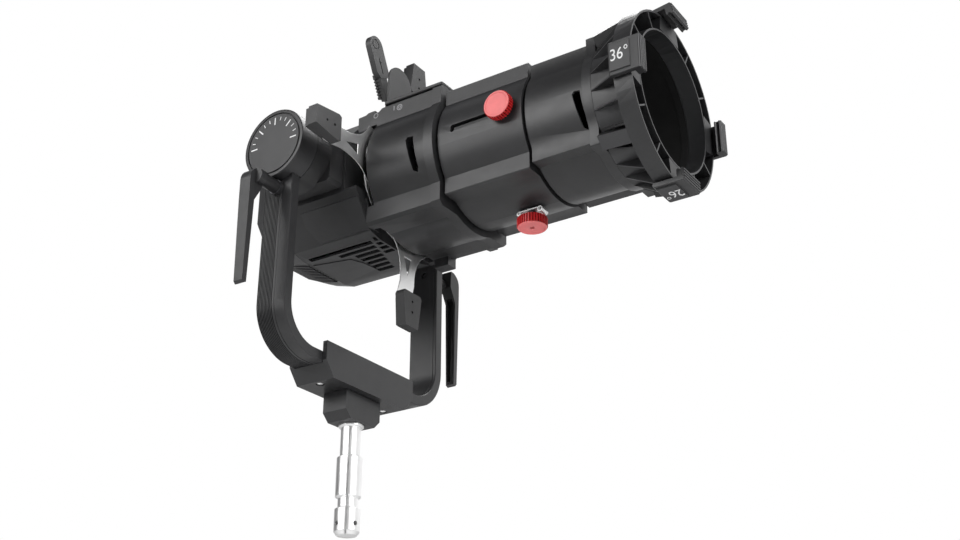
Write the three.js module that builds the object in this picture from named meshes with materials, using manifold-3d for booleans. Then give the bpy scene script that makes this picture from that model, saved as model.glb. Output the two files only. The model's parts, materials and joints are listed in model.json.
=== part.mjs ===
// Ellipsoidal stage spotlight in a U-shaped yoke on a 28.6 mm stand pin.
// Millimetres. +Z is up, +X is the way the light points, and -Y is the near side.
// The origin is the centre of the stand pin's lower end face.
// Parts of the head are drawn about the optical axis, in the group `head`.
import * as THREE from "three";
import { mergeVertices } from "three/addons/utils/BufferGeometryUtils.js";
import Module from "manifold-3d";

const wasm = await Module();
wasm.setup();

// ---------------------------------------------------------------- driving dimensions
const GAP = 0.3; // clearance between pieces that touch
const ROUND = 40; // sides of a large circle
const SMALL_ROUND = 16; // sides of a small circle

const AXIS_HEIGHT = 406.4; // optical axis above the pin's end
const HUB_RISE = 5.6; // tilt axis above the optical axis

const PIN_RADIUS = 14.3; // the standard 28.6 mm stand pin
const PIN_NECK = 11.2;
const PIN_TOP = 124.5; // underside of the pin block
const PIN_KEY_ANGLE = -57; // compass angle of the key groove, degrees from +X

const BRACKET_TOP = 195.8;
const BRACKET_BOTTOM = 156.6;
const BRACKET_HALF_LENGTH = 78.8; // along Y
const BRACKET_HALF_WIDTH = 26.3; // along X

const YOKE_HALF_WIDTH = 20; // the band is 40 mm wide
const YOKE_THICKNESS = 12.5;
const YOKE_INNER = 133; // inner face of each arm from the middle
const YOKE_BEND = 54; // outer radius of the two bends
const YOKE_BOTTOM = 172.4; // underside of the band
const HUB_RADIUS = 42.6;
const LEVER_DROP = 46; // lock bolt below the optical axis
const LEVER_OFFSET = 7.5; // the handle hangs to one side of its bolt
const LEVER_REACH = 190; // outer face of a lock lever from the middle

const HOUSING_REAR = -50; // faceted lamp housing, along X
const HOUSING_FRONT = 45;
const SHELF_FRONT = 62; // the housing's lower part runs on below the iris
const REAR_FACE = -104; // flat back of the light

const CASING_REAR = 72.8; // shutter and gobo casing, along X
const CASING_FRONT = 165;
const BARREL_REAR = 168; // lens barrel
const BARREL_FRONT = 276;
const TUBE_REAR = 279; // front tube
const COLLAR_REAR = 350;
const COLLAR_FRONT = 361;
const BAND_REAR = 396.5; // accessory ring
const RING_FACE = 416.6;
const RING_RADIUS = 100.35;
const RING_BORE = 78.2; // clear opening for the beam

const FOCUS_KNOB_X = 253; // the knob rests at the front end of its slot
const FOCUS_KNOB_Z = 6;
const FOCUS_SLOT_REAR = 185;
const FOCUS_SLOT_HALF = 2.4;

// ---------------------------------------------------------------- finishes
const finish = (color, roughness, metalness) => () =>
  new THREE.MeshStandardMaterial({ color, roughness, metalness });
const blackPaint = finish(0x2b2b2d, 0.55, 0.2);
const blackPlastic = finish(0x1c1c1e, 0.6, 0.0);
const matteBlack = finish(0x0c0c0d, 0.9, 0.0);
const steel = finish(0xe4e4e6, 0.25, 1.0);
const darkSteel = finish(0x4a4a4d, 0.4, 0.9);
const redKnob = finish(0xe85a5e, 0.4, 0.1);
const lensGlass = finish(0xb9c4c8, 0.05, 0.0);
const aluminium = finish(0x9a9c9f, 0.4, 0.9);
const circuitGreen = finish(0x1f5a3a, 0.6, 0.0);
const phosphor = finish(0xe8d44a, 0.5, 0.0);
const screenGlass = finish(0x101418, 0.1, 0.0);

// ---------------------------------------------------------------- outlines
const degrees = (a) => (a * Math.PI) / 180;
const dot = (u, v) => new THREE.Vector2(u, v);

function arc(cu, cv, r, from, to, steps) {
  return Array.from({ length: steps + 1 }, (_, i) => {
    const a = degrees(from + ((to - from) * i) / steps);
    return dot(cu + r * Math.cos(a), cv + r * Math.sin(a));
  });
}

const circle = (r, cu = 0, cv = 0, sides = ROUND) =>
  arc(cu, cv, r, 0, 360 - 360 / sides, sides - 1);

function roundedRectangle(u0, u1, v0, v1, r, steps = 4) {
  return [
    ...arc(u1 - r, v0 + r, r, -90, 0, steps),
    ...arc(u1 - r, v1 - r, r, 0, 90, steps),
    ...arc(u0 + r, v1 - r, r, 90, 180, steps),
    ...arc(u0 + r, v0 + r, r, 180, 270, steps),
  ];
}

// A round barrel whose four diagonals are raised into square corner rails.
// halfY and halfZ are the flat sides of the rails, and limit rounds their corners.
function barrelOutline(radius, halfY, halfZ, limit) {
  const foot = (half, r) => Math.sqrt(r * r - half * half);
  const corner = [
    dot(halfY, foot(halfY, radius)),
    ...arc(
      0, 0, limit,
      (Math.atan2(foot(halfY, limit), halfY) * 180) / Math.PI,
      (Math.atan2(halfZ, foot(halfZ, limit)) * 180) / Math.PI,
      3,
    ),
    dot(foot(halfZ, radius), halfZ),
  ];
  const top = (Math.atan2(halfZ, foot(halfZ, radius)) * 180) / Math.PI;
  const side = (Math.atan2(foot(halfY, radius), halfY) * 180) / Math.PI;
  const mirror = (points, su, sv) => {
    const flipped = points.map((p) => dot(p.x * su, p.y * sv));
    return su * sv < 0 ? flipped.reverse() : flipped;
  };
  const inside = (points) => points.slice(1, -1);
  return [
    ...corner,
    ...inside(arc(0, 0, radius, top, 180 - top, 8)),
    ...mirror(corner, -1, 1),
    ...inside(arc(0, 0, radius, 180 - side, 180 + side, 8)),
    ...mirror(corner, -1, -1),
    ...inside(arc(0, 0, radius, 180 + top, 360 - top, 8)),
    ...mirror(corner, 1, -1),
    ...inside(arc(0, 0, radius, -side, side, 8)),
  ];
}

// ---------------------------------------------------------------- solids
const FRAMES = {
  x: [[0, 1, 0], [0, 0, 1], [1, 0, 0]],
  y: [[1, 0, 0], [0, 0, 1], [0, -1, 0]],
  z: [[1, 0, 0], [0, 1, 0], [0, 0, 1]],
};

// An outline extruded along an axis. Its u, v are (Y, Z) for x, (X, Z) for y and (X, Y) for z.
function prism(axis, outline, from, to, ...holes) {
  const shape = new THREE.Shape(outline);
  for (const hole of holes) shape.holes.push(new THREE.Path(hole));
  const geometry = new THREE.ExtrudeGeometry(shape, { depth: to - from, bevelEnabled: false });
  const [u, v, w] = FRAMES[axis].map((row) => new THREE.Vector3(...row));
  geometry.applyMatrix4(new THREE.Matrix4().makeBasis(u, v, w));
  return geometry.translate(...w.multiplyScalar(axis === "y" ? -to : from).toArray());
}

const box = (x0, x1, y0, y1, z0, z1) =>
  new THREE.BoxGeometry(x1 - x0, y1 - y0, z1 - z0).translate(
    (x0 + x1) / 2, (y0 + y1) / 2, (z0 + z1) / 2,
  );

const rod = (axis, r, from, to, cu = 0, cv = 0, sides = SMALL_ROUND) =>
  prism(axis, circle(r, cu, cv, sides), from, to);

const tube = (axis, outer, inner, from, to, sides = ROUND) =>
  prism(axis, circle(outer, 0, 0, sides), from, to, circle(inner, 0, 0, sides));

// A profile of [radius, height] points turned about Z, then laid along the named axis.
function turned(axis, profile, sides = ROUND) {
  const geometry = new THREE.LatheGeometry(profile.map(([r, h]) => dot(r, h)), sides);
  if (axis === "z") geometry.rotateX(Math.PI / 2);
  if (axis === "x") geometry.rotateZ(-Math.PI / 2);
  return geometry;
}

// Sections with equal point counts joined into one skin with flat ends.
function loft(sections) {
  const count = sections[0].length;
  const corners = sections.flat();
  const faces = [];
  for (let s = 0; s + 1 < sections.length; s += 1) {
    for (let i = 0; i < count; i += 1) {
      const a = s * count + i;
      const b = s * count + ((i + 1) % count);
      faces.push(a, b, b + count, a, b + count, a + count);
    }
  }
  const last = (sections.length - 1) * count;
  for (let i = 1; i + 1 < count; i += 1) {
    faces.push(0, i + 1, i);
    faces.push(last, last + i, last + i + 1);
  }
  return new THREE.BufferGeometry().setFromPoints(corners).setIndex(faces);
}

const section = (x, outline, scaleY = 1, scaleZ = scaleY, rise = 0) =>
  outline.map((p) => new THREE.Vector3(x, p.x * scaleY, p.y * scaleZ + rise));

// A geometry as a closed solid with its faces turned outwards.
function solid(geometry) {
  const bare = new THREE.BufferGeometry().setAttribute("position", geometry.attributes.position);
  if (geometry.index) bare.setIndex(geometry.index);
  const merged = mergeVertices(bare, 1e-4);
  const vertProperties = merged.attributes.position.array;
  const build = (triVerts) => new wasm.Manifold(
    new wasm.Mesh({ numProp: 3, vertProperties, triVerts }),
  );
  const triVerts = new Uint32Array(merged.index.array);
  const made = build(triVerts);
  return made.volume() > 0 ? made : build(triVerts.reverse());
}

function geometryOf(manifold) {
  const mesh = manifold.getMesh();
  return new THREE.BufferGeometry()
    .setAttribute("position", new THREE.BufferAttribute(mesh.vertProperties, 3))
    .setIndex(new THREE.BufferAttribute(mesh.triVerts, 1));
}

const join = (first, ...others) =>
  geometryOf(others.reduce((sum, g) => sum.add(solid(g)), solid(first)));
const cut = (body, ...tools) =>
  geometryOf(tools.reduce((rest, g) => rest.subtract(solid(g)), solid(body)));
const overlap = (a, b) => geometryOf(solid(a).intersect(solid(b)));
const turnX = (geometry, angle) => geometry.clone().rotateX(degrees(angle));
const mirrorY = (geometry) => geometryOf(solid(geometry.clone().scale(1, -1, 1)));

// ---------------------------------------------------------------- scene graph
const spotlight = new THREE.Group();
const head = new THREE.Group();
head.position.z = AXIS_HEIGHT;
spotlight.add(head);

function part(parent, name, geometry, material) {
  const mesh = new THREE.Mesh(geometry, material());
  mesh.name = name;
  parent.add(mesh);
  return mesh;
}

const SIDES = [["near", -1], ["far", 1]];
const forSide = (geometry, side) => (side < 0 ? geometry : mirrorY(geometry));

// ---------------------------------------------------------------- stand pin, block and bracket
function standPin() {
  const body = turned("z", [
    [0, 0], [11, 0], [PIN_RADIUS, 4], [PIN_RADIUS, 29], [PIN_NECK, 31], [PIN_NECK, 40.5],
    [PIN_RADIUS, 42.5], [PIN_RADIUS, 86.6], [PIN_NECK, 88.6], [PIN_NECK, 121],
    [PIN_RADIUS, 122.2], [PIN_RADIUS, PIN_TOP - GAP], [9, PIN_TOP - GAP], [9, 150], [0, 150],
  ], 20);
  const groove = box(PIN_RADIUS - 5, PIN_RADIUS + 1, -1.1, 1.1, -1, PIN_TOP - 4);
  const crossHole = () => rod("x", 2.6, -PIN_RADIUS - 1, PIN_RADIUS + 1, 0, 12, 12);
  return cut(
    body,
    groove.rotateZ(degrees(PIN_KEY_ANGLE)),
    crossHole().rotateZ(degrees(PIN_KEY_ANGLE + 45)),
    crossHole().rotateZ(degrees(PIN_KEY_ANGLE - 45)),
  );
}

function pinBlock() {
  const halfLength = 30.5;
  const outline = [
    dot(-21, PIN_TOP), dot(21, PIN_TOP), dot(halfLength, PIN_TOP + 9),
    dot(halfLength, BRACKET_BOTTOM - GAP), dot(-halfLength, BRACKET_BOTTOM - GAP),
    dot(-halfLength, PIN_TOP + 9),
  ];
  const socket = rod("z", 9.3, PIN_TOP - 1, BRACKET_BOTTOM, 0, 0, 32);
  const boltHole = rod("z", 4.3, BRACKET_BOTTOM - 20, BRACKET_BOTTOM + 1, 0, 24);
  const farHole = rod("z", 4.3, BRACKET_BOTTOM - 20, BRACKET_BOTTOM + 1, 0, -24);
  return cut(prism("x", outline, -16.5, 16.5), socket, boltHole, farHole);
}

const FLANGE_HOLE_Y = 56.5;

function yokeBracket() {
  const outline = [
    dot(-65, BRACKET_BOTTOM), dot(65, BRACKET_BOTTOM), dot(BRACKET_HALF_LENGTH, 174),
    dot(BRACKET_HALF_LENGTH, BRACKET_TOP), dot(-BRACKET_HALF_LENGTH, BRACKET_TOP),
    dot(-BRACKET_HALF_LENGTH, 174),
  ];
  const channel = box(
    -YOKE_HALF_WIDTH - GAP, YOKE_HALF_WIDTH + GAP, -90, 90, YOKE_BOTTOM - GAP, BRACKET_TOP + 1,
  );
  const holes = [-1, 1].map((s) =>
    rod("z", 4.8, BRACKET_BOTTOM - 1, YOKE_BOTTOM + 1, 0, s * FLANGE_HOLE_Y));
  const bolts = [-24, 24].map((y) => rod("z", 4.3, BRACKET_BOTTOM - 1, YOKE_BOTTOM + 1, 0, y));
  return cut(prism("x", outline, -BRACKET_HALF_WIDTH, BRACKET_HALF_WIDTH),
    channel, ...holes, ...bolts);
}

// A cap screw that clamps the yoke band and the bracket to the pin block.
function clampScrew(y) {
  const top = YOKE_BOTTOM + YOKE_THICKNESS;
  const head = cut(rod("z", 8, top + GAP, top + 8, 0, y, 16), rod("z", 3, top + 4, top + 9, 0, y, 6));
  return join(head, rod("z", 4, BRACKET_BOTTOM - 18, top + GAP + 0.1, 0, y, 12));
}

// ---------------------------------------------------------------- yoke
function yokeBand() {
  const outer = YOKE_INNER + YOKE_THICKNESS;
  const bendInner = YOKE_BEND - YOKE_THICKNESS;
  const bendY = outer - YOKE_BEND;
  const bendZ = YOKE_BOTTOM + YOKE_BEND;
  const armTop = AXIS_HEIGHT + HUB_RISE + YOKE_HALF_WIDTH;
  const outline = [
    dot(-outer, armTop),
    ...arc(-bendY, bendZ, YOKE_BEND, 180, 270, 10),
    ...arc(bendY, bendZ, YOKE_BEND, 270, 360, 10),
    dot(outer, armTop), dot(YOKE_INNER, armTop),
    ...arc(bendY, bendZ, bendInner, 360, 270, 10),
    ...arc(-bendY, bendZ, bendInner, 270, 180, 10),
    dot(-YOKE_INNER, armTop),
  ];
  const band = prism("x", outline, -YOKE_HALF_WIDTH, YOKE_HALF_WIDTH);
  const hubHeight = AXIS_HEIGHT + HUB_RISE;
  const roundTop = [
    ...arc(0, hubHeight, YOKE_HALF_WIDTH, 0, 180, 14),
    dot(-YOKE_HALF_WIDTH, 0), dot(YOKE_HALF_WIDTH, 0),
  ];
  return cut(
    overlap(band, prism("y", roundTop, -outer - 1, outer + 1)),
    rod("y", 10.5, -outer - 1, outer + 1, 0, hubHeight, 24),
    rod("y", 4.4, -outer - 1, outer + 1, 0, AXIS_HEIGHT - LEVER_DROP, 16),
    rod("z", 4.3, 150, 200, 0, 24, 12),
    rod("z", 4.3, 150, 200, 0, -24, 12),
  );
}

// The round cover that caps the arm's end. Its skirt reaches in past the arm, which fills a channel in it.
function hubCover() {
  const height = AXIS_HEIGHT + HUB_RISE;
  const seat = -YOKE_INNER - YOKE_THICKNESS - GAP;
  const inner = -YOKE_INNER + 0.6;
  const face = -158.5;
  const disc = turned("y", [
    [0, face], [HUB_RADIUS - 5.6, face], [HUB_RADIUS - 5.2, face + 1.2],
    [HUB_RADIUS - 4, face + 1.2], [HUB_RADIUS - 3.6, face], [HUB_RADIUS - 1, face],
    [HUB_RADIUS, face + 1], [HUB_RADIUS, inner], [0, inner],
  ], 36).translate(0, 0, height);
  const room = YOKE_HALF_WIDTH + GAP;
  const channel = prism("y", [
    ...arc(0, height, room, 0, 180, 14), dot(-room, height - 60), dot(room, height - 60),
  ], seat, inner + 1);
  return cut(disc, channel, rod("y", 10.5, seat - 7, seat + 1, 0, height, 24));
}

// ---------------------------------------------------------------- tilt lock levers
// A stud through the arm, a washer boss, and a hollow-backed handle that hangs down beside them.
const LEVER_HALF_WIDTH = 7.5;

// rise lifts the handle's arched top over the bolt; length runs from there down to the tip.
function lockLever(rise, length) {
  const arm = YOKE_INNER + YOKE_THICKNESS;
  const bolt = AXIS_HEIGHT - LEVER_DROP;
  const z = bolt + rise;
  const outer = -LEVER_REACH;
  const stud = rod("y", 4, -arm - 4, -arm + 10, 0, bolt, 16);
  const washer = rod("y", 8.6, -arm - 4, -arm - GAP, 0, bolt, 24);
  const boss = rod("y", 7.8, outer + 12, -arm - 3, 0, bolt, 20);
  const eye = rod("y", 9, outer + 8, outer + 17, 0, bolt, 24);
  const outline = [
    dot(outer + 19, z - 11), ...arc(outer + 18, z, 11, 90, 100, 1),
    ...arc(outer + 16, z - 5, 16, 105, 180, 5),
    dot(outer + 1.5, z - length + 3), dot(outer + 4, z - length),
    dot(outer + 8, z - length + 2), dot(outer + 8.5, z - 30),
  ];
  const middle = -LEVER_OFFSET;
  const handle = prism("x", outline, middle - LEVER_HALF_WIDTH, middle + LEVER_HALF_WIDTH);
  const taper = prism("y", [
    dot(middle - LEVER_HALF_WIDTH, z + 20), dot(middle - LEVER_HALF_WIDTH, z - 30),
    dot(middle - LEVER_HALF_WIDTH + 1.6, z - length - 2),
    dot(middle + LEVER_HALF_WIDTH - 1.6, z - length - 2),
    dot(middle + LEVER_HALF_WIDTH, z - 30), dot(middle + LEVER_HALF_WIDTH, z + 20),
  ], outer - 2, -arm);
  const back = box(
    middle - 4.6, middle + 4.6, outer + 4, outer + 12, z - length + 6, z - 24,
  );
  return join(cut(overlap(handle, taper), back), eye, boss, washer, stud);
}

// ---------------------------------------------------------------- tilt hub on the head
const DRUM_OUTER = YOKE_INNER - 1.4;
const DRUM_INNER = 108;
const BLOCK_INNER = 86.3;

// The drum that turns inside the arm, its shaft, and the block that carries it on the housing.
function tiltHub() {
  const drum = rod("y", HUB_RADIUS, -DRUM_OUTER, -DRUM_INNER, 0, HUB_RISE, ROUND);
  const shaft = rod("y", 10, -YOKE_INNER - YOKE_THICKNESS - 5, -DRUM_OUTER + 1, 0, HUB_RISE, 24);
  const block = prism("y", [
    dot(-44, -30), dot(38, -30), dot(42, -26), dot(42, 40), dot(34, 47), dot(-36, 47), dot(-44, 40),
  ], -DRUM_INNER - 1, -BLOCK_INNER);
  return join(drum, shaft, block);
}

// ---------------------------------------------------------------- lamp housing
const FACETS = [
  [86, -36], [86, 33], [50, 73], [36, 82], [-36, 82], [-50, 73],
  [-86, 33], [-86, -36], [-56, -78], [-38, -82], [38, -82], [56, -78],
].map(([y, z]) => dot(y, z));
const FLOOR = -82; // underside of the housing
const WALL = 3;
const inset = (outline, by) => outline.map((p) => dot(p.x * (1 - by / 86), p.y * (1 - by / 82)));

// Louvres in the underside. They run along X and end on a curve that follows the gate.
const louvre = (rear, front, y) => box(rear, front, y - 3.4, y + 3.4, FLOOR - 5, FLOOR + 4.2);

function floorLouvres() {
  const slots = [];
  for (let row = 0; row < 7; row += 1) {
    const y = -38 + row * 10.8;
    const rear = [-42, -6][row] ?? 10;
    const front = 50 - 0.28 * (y + 38);
    slots.push(louvre(rear, front, y));
    if (row < 4) slots.push(louvre(front + 5, SHELF_FRONT - 2.5, y - 3.5));
  }
  return slots;
}

// A smooth panel standing a little proud of the near lower facet, its lower rear corner cut off.
function sidePanel() {
  const along = (t, out) => dot(-86 + 30 * t - 0.81 * out, -36 - 42 * t - 0.58 * out);
  const strip = prism("x", [along(0.17, -1), along(0.97, -1), along(0.95, 1), along(0.19, 1)], -30, 61);
  return overlap(strip, prism("y", [
    dot(-22, -30), dot(-22, -58), dot(-6, FLOOR), dot(61, FLOOR), dot(61, -30),
  ], -100, 0));
}

function lampHousing() {
  const shell = cut(
    prism("x", FACETS, HOUSING_REAR, HOUSING_FRONT),
    prism("x", inset(FACETS, WALL), HOUSING_REAR - 1, HOUSING_FRONT - 4),
    rod("x", 52, HOUSING_FRONT - 5, HOUSING_FRONT + 1, 0, 0, 32),
  );
  const shelf = cut(
    prism("x", FACETS, HOUSING_FRONT - 1, SHELF_FRONT),
    rod("x", 73, HOUSING_FRONT - 2, SHELF_FRONT + 1, 0, 0, ROUND),
    box(HOUSING_FRONT - 2, SHELF_FRONT + 1, -90, 90, -33, 90),
  );
  const labelPlate = prism("z", [dot(-47, -26), dot(1, -16), dot(8, 0), dot(11, 28), dot(-46, 34)],
    FLOOR - 0.8, FLOOR + 1);
  return cut(join(shell, shelf, labelPlate, sidePanel(), mirrorY(sidePanel())), ...floorLouvres());
}

function rearCover() {
  const front = HOUSING_REAR - GAP;
  const waist = -75;
  const outer = loft([
    section(REAR_FACE, FACETS, 0.78), section(waist, FACETS, 0.93), section(front, FACETS),
  ]);
  const hollow = loft([
    section(REAR_FACE + 4, FACETS, 0.73), section(waist, FACETS, 0.88),
    section(front + 1, inset(FACETS, WALL)),
  ]);
  const ribs = Array.from({ length: 11 }, (_, i) => {
    const y = (i - 5) * 5.2;
    return prism("y", [
      dot(REAR_FACE + 4, -63), dot(REAR_FACE + 4, -66.8), dot(waist, -77.4), dot(front - 3, -82.6),
      dot(front - 3, -80), dot(waist, -75),
    ], y - 0.8, y + 0.8);
  });
  const grille = [];
  for (const radius of [14, 24]) {
    for (let k = 0; k < 4; k += 1) {
      const from = k * 90 + 8;
      const slot = [
        ...arc(0, 0, radius + 3, from, from + 74, 4), ...arc(0, 0, radius - 3, from + 74, from, 4),
      ];
      grille.push(prism("x", slot.map((p) => dot(p.x, p.y + FAN_Z)), REAR_FACE - 1, REAR_FACE + 5));
    }
  }
  const sockets = [
    box(REAR_FACE - 1, REAR_FACE + 5, -36, 2, -50, -26),
    rod("x", 5, REAR_FACE - 1, REAR_FACE + 5, KNOB_Y, -34),
    rod("x", 8.9, REAR_FACE - 1, REAR_FACE + 5, INLET_Y, -36, 24),
    ...BUTTON_Y.map((y) => rod("x", 3.4, REAR_FACE - 1, REAR_FACE + 5, y, BUTTON_Z, 16)),
  ];
  return cut(join(cut(outer, hollow), ...ribs), ...grille, ...sockets);
}

// ---------------------------------------------------------------- inside the lamp housing
const FAN_Z = 18;
const FAN_HALF = 34; // half the side of the fan frame
const FAN_BORE = 31;
const BUTTON_Y = [-26, -8];
const KNOB_Y = 17; // menu knob and power inlet on the rear panel
const INLET_Y = 43;
const BUTTON_Z = -57;
const FAN_REAR = REAR_FACE + 6;
const FAN_FRONT = FAN_REAR + 18;

function fanFrame() {
  const frame = prism("x", roundedRectangle(-FAN_HALF, FAN_HALF, -FAN_HALF, FAN_HALF, 5),
    FAN_REAR, FAN_FRONT, circle(FAN_BORE, 0, 0, 40));
  const spokes = [45, 135, 225, 315].map((a) =>
    turnX(box(FAN_FRONT - 2.5, FAN_FRONT, 6, FAN_BORE + 1.5, -1.2, 1.2), a));
  const motorSeat = rod("x", 9, FAN_FRONT - 2.5, FAN_FRONT, 0, 0, 24);
  return join(frame, motorSeat, ...spokes).translate(0, 0, FAN_Z);
}

function fanRotor() {
  const hub = rod("x", 12, FAN_REAR + 1, FAN_FRONT - 3, 0, 0, 24);
  const blades = Array.from({ length: 7 }, (_, i) => {
    const blade = box(-6, 6, 11, FAN_BORE - 1.5, -0.8, 0.8).rotateY(degrees(35));
    return turnX(blade.translate((FAN_REAR + FAN_FRONT) / 2, 0, 0), (i * 360) / 7);
  });
  return join(hub, ...blades).translate(0, 0, FAN_Z);
}

function heatSink() {
  const base = box(-26, -20, -48, 48, -48, 48);
  const fins = Array.from({ length: 11 }, (_, i) => {
    const y = -45 + i * 9;
    return box(-74, -25.5, y - 1, y + 1, -46, 46);
  });
  return join(base, ...fins);
}

const ledBoard = () => rod("x", 22, -20 + GAP, -16, 0, 0, 32);
const ledEmitter = () => turned("x", [[0, -16 + GAP], [14, -16 + GAP], [14, -14.5], [0, -13.5]], 24);

// A lens with two faces of the given radii of curvature, positive when the middle stands proud.
function lens(rim, rearX, frontX, rearBulge, frontBulge) {
  const steps = 3;
  const curve = (x, bulge) => Array.from({ length: steps + 1 }, (_, i) => {
    const r = (rim * i) / steps;
    return [r, x + bulge * (1 - (r * r) / (rim * rim))];
  });
  return turned("x", [...curve(rearX, -rearBulge), ...curve(frontX, frontBulge).reverse()], 32);
}

function condenserCell() {
  return tube("x", 46, 42, -8, 36, 40);
}

function driverBoard() {
  return join(
    box(-66, -30, -50, 50, -66, -64),
    box(-60, -46, -40, -16, -64.1, -54), box(-60, -42, 6, 24, -64.1, -56),
    box(-62, -50, 30, 42, -64.1, -52),
  );
}

// ---------------------------------------------------------------- rear controls
const displayWindow = () => box(REAR_FACE - 0.4, REAR_FACE + 3, -35.6, 1.6, -49.6, -26.4);
const menuKnob = () => join(
  turned("x", [[0, REAR_FACE - 12], [8, REAR_FACE - 12], [9.4, REAR_FACE - 10.6],
    [10, REAR_FACE - GAP], [0, REAR_FACE - GAP]], 24).translate(0, KNOB_Y, -34),
  rod("x", 4, REAR_FACE - 1, REAR_FACE + 4.6, KNOB_Y, -34),
);
const menuButton = (y) => rod("x", 3, REAR_FACE - 2, REAR_FACE + 2.5, y, BUTTON_Z, 14);

function powerInlet() {
  const shell = tube("x", 8.5, 7, REAR_FACE - 5, REAR_FACE + 12, 24);
  const flange = tube("x", 11, 7, REAR_FACE - 2.2, REAR_FACE - GAP, 24);
  const pins = [30, 150, 270].map((a) => rod("x", 1.2, REAR_FACE - 2, REAR_FACE + 7,
    4 * Math.cos(degrees(a)), 4 * Math.sin(degrees(a)), 6));
  const insulator = rod("x", 7.1, REAR_FACE + 5, REAR_FACE + 12, 0, 0, 24);
  return join(shell, flange, insulator, ...pins).translate(0, INLET_Y, -36);
}

// ---------------------------------------------------------------- gate and shutters
const GATE_BORE = 38;
const SHUTTER_PITCH = 1.5;
const SHUTTER_FIRST = 65.6; // plane of the rearmost blade

const gateRing = (from, to, outer) => tube("x", outer, GATE_BORE, from, to, 32);

const BLADE_THICKNESS = 0.9;
const NECK_HALF = 13.5;
const BLADE_FOOT = 44; // nearest point to the axis with the blade pulled out
const BLADE_SHOULDER = 72; // the flare starts here and sweeps in to the neck
const NECK_START = 122;

// A blade drawn pointing up: wide at the gate, then a hollow-sided flare down to a narrow neck.
function shutterBlade(x, flare, neck) {
  const sweep = (side) => new THREE.QuadraticBezierCurve(
    dot(flare.middle + side * flare.half, BLADE_SHOULDER),
    dot(neck + side * (NECK_HALF - 1.5), BLADE_SHOULDER + 12),
    dot(neck + side * NECK_HALF, NECK_START),
  ).getPoints(7);
  const blade = prism("x", [
    dot(flare.middle - flare.half, BLADE_FOOT), dot(flare.middle + flare.half, BLADE_FOOT),
    ...sweep(1), dot(NECK_HALF, 140), dot(NECK_HALF, 152),
    dot(-NECK_HALF, 152), dot(-NECK_HALF, 140), ...sweep(-1).reverse(),
  ], x, x + BLADE_THICKNESS);
  const window = prism("x", [dot(neck - 6.5, 91), dot(neck + 6.5, 91), dot(neck, 112)], x - 1, x + 2);
  const notch = prism("x", roundedRectangle(
    flare.middle - 8, flare.middle + 8, BLADE_SHOULDER + 1, BLADE_SHOULDER + 4, 1.4, 2,
  ), x - 1, x + 2);
  return cut(blade, window, notch);
}

// A wedge-shaped moulded grip with a slot for the blade.
function shutterHandle(x) {
  const grip = prism("x", [
    dot(-15, 139), dot(15, 139), dot(17, 143), dot(11.5, 181), dot(-11.5, 181), dot(-17, 143),
  ], 69.5, 81.5);
  const tail = prism("x", [
    dot(-13.5, 146), dot(13.5, 146), dot(11, 179), dot(-11, 179),
  ], x - 1.5, 69.6);
  const slot = box(x - GAP, x + BLADE_THICKNESS + GAP, -14, 14, 138, 152 + GAP);
  const screws = [150, 163].map((z) => rod("x", 1.6, 79, 83, 0, z, 10));
  return cut(join(grip, tail), slot, ...screws);
}

// Each shutter's direction, its plane counted from the rear, how far its handle sits to one side,
// how far it is pushed in, the middle and half-width of its flare, and the middle of its neck.
const SHUTTERS = [
  { name: "top", turn: 0, plane: 1, aside: 3, push: 14, flare: { middle: 0, half: 34 }, neck: 0 },
  { name: "bottom", turn: 180, plane: 2, aside: 0, push: 0, flare: { middle: -10, half: 38 }, neck: -5 },
  { name: "near", turn: 90, plane: 0, aside: 7, push: 0, flare: { middle: 7, half: 36 }, neck: 3 },
  { name: "far", turn: -90, plane: 3, aside: 0, push: 0, flare: { middle: 0, half: 36 }, neck: 0 },
];

// ---------------------------------------------------------------- iris
// The lever turns the iris about the optical axis. Its neck is radial and its grip is cranked.
const IRIS_LEAN = 9.4; // of the neck towards the near side at rest, degrees
const GRIP_LEAN = 25.6; // of the grip
const GRIP_START = 122; // from the optical axis

function irisLever() {
  const carrier = tube("x", 50, 34, 49.4, 52.4, 32);
  const neck = turnX(box(49.4, 52.4, -4, 4, 48, GRIP_START + 3), IRIS_LEAN);
  const grip = prism("x", [dot(-6, -3), dot(6, -3), dot(7, 26), dot(-7, 26)], 45.5, 52.4);
  const paddle = prism("x", [
    dot(-7, 25), dot(8, 25), dot(13.5, 33), ...arc(1, 66.5, 12.5, 0, 180, 10), dot(-11.5, 33),
  ], 45.5, 53);
  const thumbRest = prism("x", [dot(-7.6, 0.5), dot(5, 0.5), dot(5, 31), dot(-7.6, 31)], 42, 46);
  const ribs = Array.from({ length: 6 }, (_, i) => box(40, 50, -9, -5.8, 3.5 + i * 4, 5.5 + i * 4));
  const slit = box(52, 54, -0.8, 0.8, 30, 50);
  const crossSlit = box(52, 54, -2.5, 2.5, 44, 45.6);
  const ring = tube("x", 6.6, 5.4, 52.4, 54, 20).translate(0, 0, 68);
  const cranked = turnX(cut(join(grip, paddle, thumbRest), slit, crossSlit, ring, ...ribs), GRIP_LEAN);
  const lean = degrees(IRIS_LEAN);
  cranked.translate(0, -GRIP_START * Math.sin(lean), GRIP_START * Math.cos(lean));
  return join(carrier, neck, cranked);
}

// ---------------------------------------------------------------- shutter and gobo casing
// An air slot through the near side, drawn in (X, Z).
const airSlot = (outline) => prism("y", outline, -95, -60);

// A collar inside one barrel section that runs on into the next one, behind the seam.
const spigot = (from, seam, to) =>
  join(tube("x", 74, 69.6, from, seam), tube("x", 71.7, 69.6, seam - 1, to));

const LID_BOTTOM = 76;
const GOBO_X = 83.4; // rear face of the gobo holder
const GOBO_THICKNESS = 2.4;

const BLADE_ROOM = 53; // half the width left free for the shutter blades between the posts

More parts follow.
